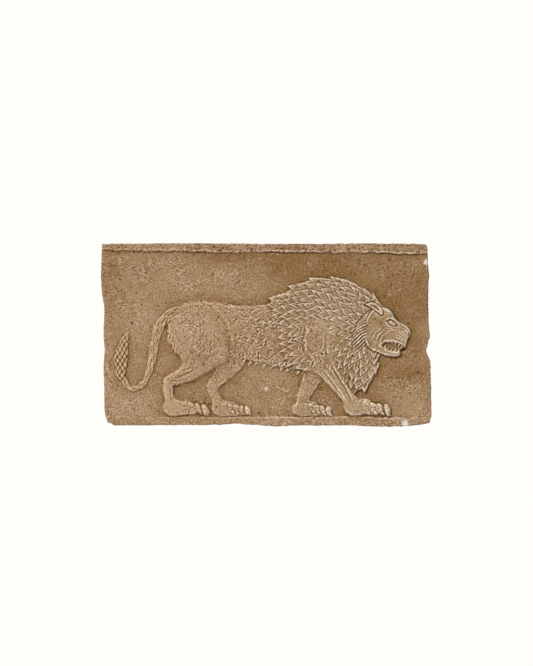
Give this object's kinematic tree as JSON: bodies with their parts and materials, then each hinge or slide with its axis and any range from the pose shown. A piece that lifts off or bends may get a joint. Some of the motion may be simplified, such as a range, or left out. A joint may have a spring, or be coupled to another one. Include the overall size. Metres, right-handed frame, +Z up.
{
  "type": "lion relief plaque",
  "caption": "Cast wall plaque of rough stone colour with a striding lion in low relief between a plain top band and a ground ledge.",
  "frame": {"origin": "middle of the flat back, in the plane of the wall that it hangs on", "axes": "+X to the viewer's right along the length, +Z up, +Y into the wall; the carving faces -Y"},
  "size_m": [0.3, 0.0228, 0.1666],
  "materials": {
    "casting": "matt, pitted and mottled, rubbed paler on the high parts"
  },
  "bodies": {
    "root": {"relief_panel": "casting"}
  },
  "joints": []
}
